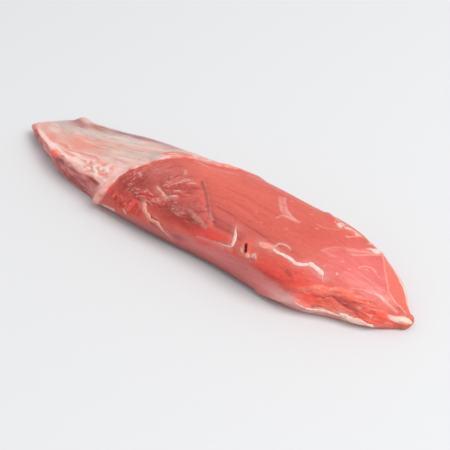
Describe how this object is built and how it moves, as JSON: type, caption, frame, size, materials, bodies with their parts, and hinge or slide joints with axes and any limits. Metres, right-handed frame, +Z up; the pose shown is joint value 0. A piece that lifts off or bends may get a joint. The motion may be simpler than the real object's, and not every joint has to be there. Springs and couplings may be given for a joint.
{
  "type": "raw shoulder tender steak",
  "caption": "Long tapered raw beef muscle with a thin membrane-covered end, a pointed tip, fat strands and grain relief, lying on a flat underside.",
  "frame": {"origin": "under the middle of the steak, on the surface that it rests on", "axes": "+X along the muscle from the cut end to the pointed tip, +Y from the near side to the far side, +Z up"},
  "size_m": [0.2535, 0.0542, 0.0311],
  "materials": {
    "raw_meat": "moist raw beef: red lean muscle with fine grain, silver-pink membrane on the thin end and cream fat strands"
  },
  "bodies": {
    "root": {"shoulder_tender": "raw_meat"}
  },
  "joints": []
}
